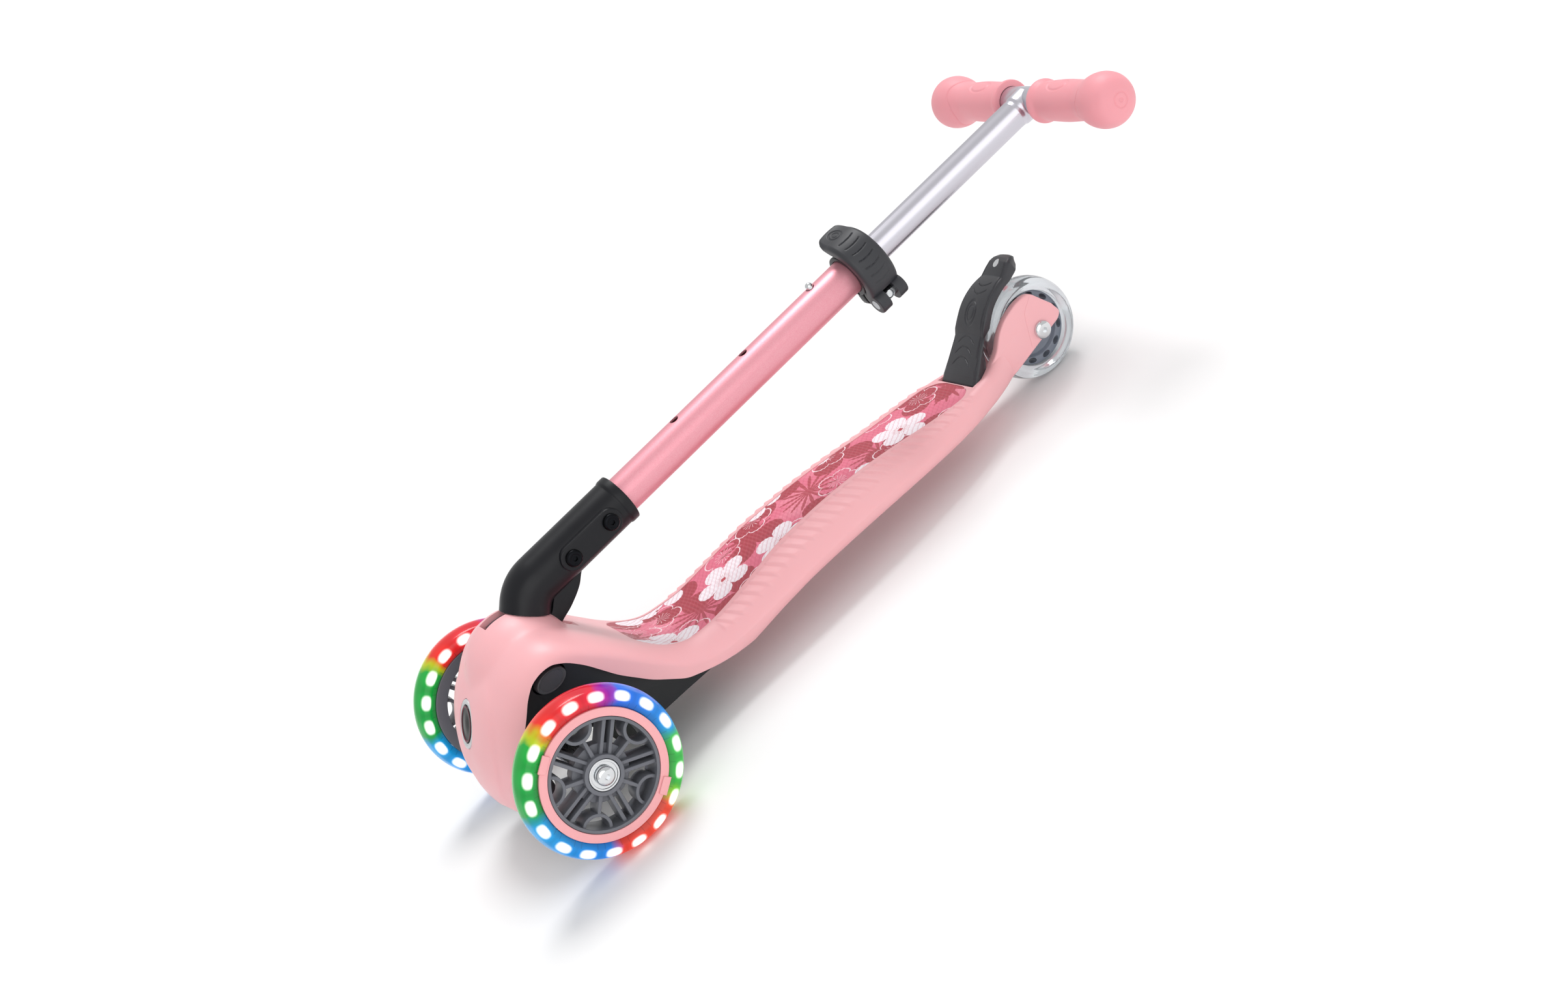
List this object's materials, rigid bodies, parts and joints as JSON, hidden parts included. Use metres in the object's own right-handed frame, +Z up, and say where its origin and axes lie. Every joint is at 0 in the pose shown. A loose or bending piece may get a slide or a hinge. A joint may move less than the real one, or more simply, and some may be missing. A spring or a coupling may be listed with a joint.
{
  "type": "kick scooter",
  "caption": "Child's three-wheeled kick scooter, folded: T-bar lies over the deck, with lean steering, light-up front wheels, height clamp and a foot brake over the rear wheel.",
  "frame": {"origin": "middle of the footprint, on the floor", "axes": "+Y from the nose to the tail, +X toward the rider's left, +Z up"},
  "size_m": [0.2386, 0.6565, 0.1997],
  "materials": {
    "body_pink": "satin",
    "mat_print": "matte",
    "black_plastic": "fine satin texture",
    "hub_grey": "satin",
    "bezel_grey": "satin",
    "tyre_clear": "clear cast polyurethane",
    "light_ring": "glowing",
    "steel": "satin",
    "chrome": "polished",
    "black_bolt": "satin black oxide",
    "tube_pink": "gloss metallic",
    "stem_silver": "satin anodised",
    "grip_pink": "matte",
    "cushion": "matte"
  },
  "bodies": {
    "deck": {"deck_body": "body_pink", "deck_mat": "mat_print", "steering_housing": "black_plastic", "fold_pin": "steel", "king_bolt": "steel", "lock_bezel": "bezel_grey", "brake_pin": "steel", "brake_spring": "steel", "rear_axle_bolt": "chrome", "rear_axle_nut": "chrome", "rear_spacer_left": "steel", "rear_spacer_right": "steel"},
    "axle": {"axle_carrier": "black_plastic", "front_axle_bolt_left": "chrome", "front_axle_bolt_right": "chrome", "steering_cushion_upper": "cushion", "steering_cushion_lower": "cushion"},
    "rear_wheel": {"rear_tyre": "tyre_clear", "rear_core": "hub_grey", "rear_bearing_left": "steel", "rear_bearing_right": "steel"},
    "column": {"fold_knuckle": "black_plastic", "slot_shutter": "hub_grey", "sleeve_bolt_upper": "black_bolt", "sleeve_nut_upper": "steel", "sleeve_bolt_lower": "black_bolt", "sleeve_nut_lower": "steel", "lower_tube": "tube_pink", "tube_bush": "black_plastic", "clamp_collar": "black_plastic", "clamp_bolt": "chrome", "lever_pin": "chrome"},
    "quick_lever": {"clamp_lever": "black_plastic"},
    "t_bar": {"t_bar_stem": "stem_silver", "crossbar": "stem_silver", "grip_left": "grip_pink", "grip_right": "grip_pink", "button_spring": "steel"},
    "spring_button": {"height_button": "chrome"},
    "brake": {"brake_lever": "black_plastic", "brake_rivet": "chrome"},
    "steering_lock": {"lock_button": "black_plastic"},
    "fold_button_left": {"push_button_left": "black_plastic"},
    "fold_button_right": {"push_button_right": "black_plastic"},
    "front_wheel_left": {"tyre_left": "tyre_clear", "led_ring_left": "light_ring", "snap_ring_left": "body_pink", "hub_core_left": "hub_grey", "bearing_outer_left": "steel", "bearing_inner_left": "steel"},
    "front_wheel_right": {"tyre_right": "tyre_clear", "led_ring_right": "light_ring", "snap_ring_right": "body_pink", "hub_core_right": "hub_grey", "bearing_outer_right": "steel", "bearing_inner_right": "steel"}
  },
  "joints": [
    {"name": "fold_hinge", "type": "hinge", "parent": "deck", "child": "column", "pos_m": [0, -0.24877, 0.1105], "axis": [1, 0, 0], "range_deg": [0, 78]},
    {"name": "t_bar_slide", "type": "slide", "parent": "column", "child": "t_bar", "axis": [0, -0.9984, -0.0558], "range_m": [0, 0.14], "deforming": ["height_button"]},
    {"name": "clamp_lever_hinge", "type": "hinge", "parent": "column", "child": "quick_lever", "pos_m": [0.018, 0.12232, 0.14306], "axis": [0, 0.9984, 0.0558], "range_deg": [0, 110]},
    {"name": "height_button_press", "type": "slide", "parent": "t_bar", "child": "spring_button", "axis": [0, 0.0558, -0.9984], "range_m": [0, 0.005], "stiffness_N_per_m": 300, "springref_m": -0.004, "deforming": ["button_spring"]},
    {"name": "steer_hinge", "type": "hinge", "parent": "deck", "child": "axle", "pos_m": [0, -0.26827, 0.06], "axis": [0, -0.7071, 0.7071], "range_deg": [-12, 12], "stiffness_Nm_per_rad": 8},
    {"name": "front_wheel_left_spin", "type": "hinge", "parent": "axle", "child": "front_wheel_left", "pos_m": [0.1047, -0.26827, 0.06], "axis": [1, 0, 0], "continuous": true},
    {"name": "front_wheel_right_spin", "type": "hinge", "parent": "axle", "child": "front_wheel_right", "pos_m": [-0.1047, -0.26827, 0.06], "axis": [1, 0, 0], "continuous": true},
    {"name": "rear_wheel_spin", "type": "hinge", "parent": "deck", "child": "rear_wheel", "pos_m": [0, 0.20973, 0.04], "axis": [1, 0, 0], "continuous": true},
    {"name": "brake_hinge", "type": "hinge", "parent": "deck", "child": "brake", "pos_m": [0, 0.14373, 0.0385], "axis": [-1, 0, 0], "range_deg": [0, 2], "stiffness_Nm_per_rad": 0.5, "springref_deg": -11.46},
    {"name": "lock_button_press", "type": "slide", "parent": "deck", "child": "steering_lock", "axis": [0, 0.8, -0.6], "range_m": [0, 0.003], "stiffness_N_per_m": 400, "springref_m": -0.002},
    {"name": "fold_button_left_press", "type": "slide", "parent": "deck", "child": "fold_button_left", "axis": [-1, 0, 0], "range_m": [0, 0.004], "stiffness_N_per_m": 400, "springref_m": -0.002},
    {"name": "fold_button_right_press", "type": "slide", "parent": "deck", "child": "fold_button_right", "axis": [1, 0, 0], "range_m": [0, 0.004], "stiffness_N_per_m": 400, "springref_m": -0.002}
  ]
}
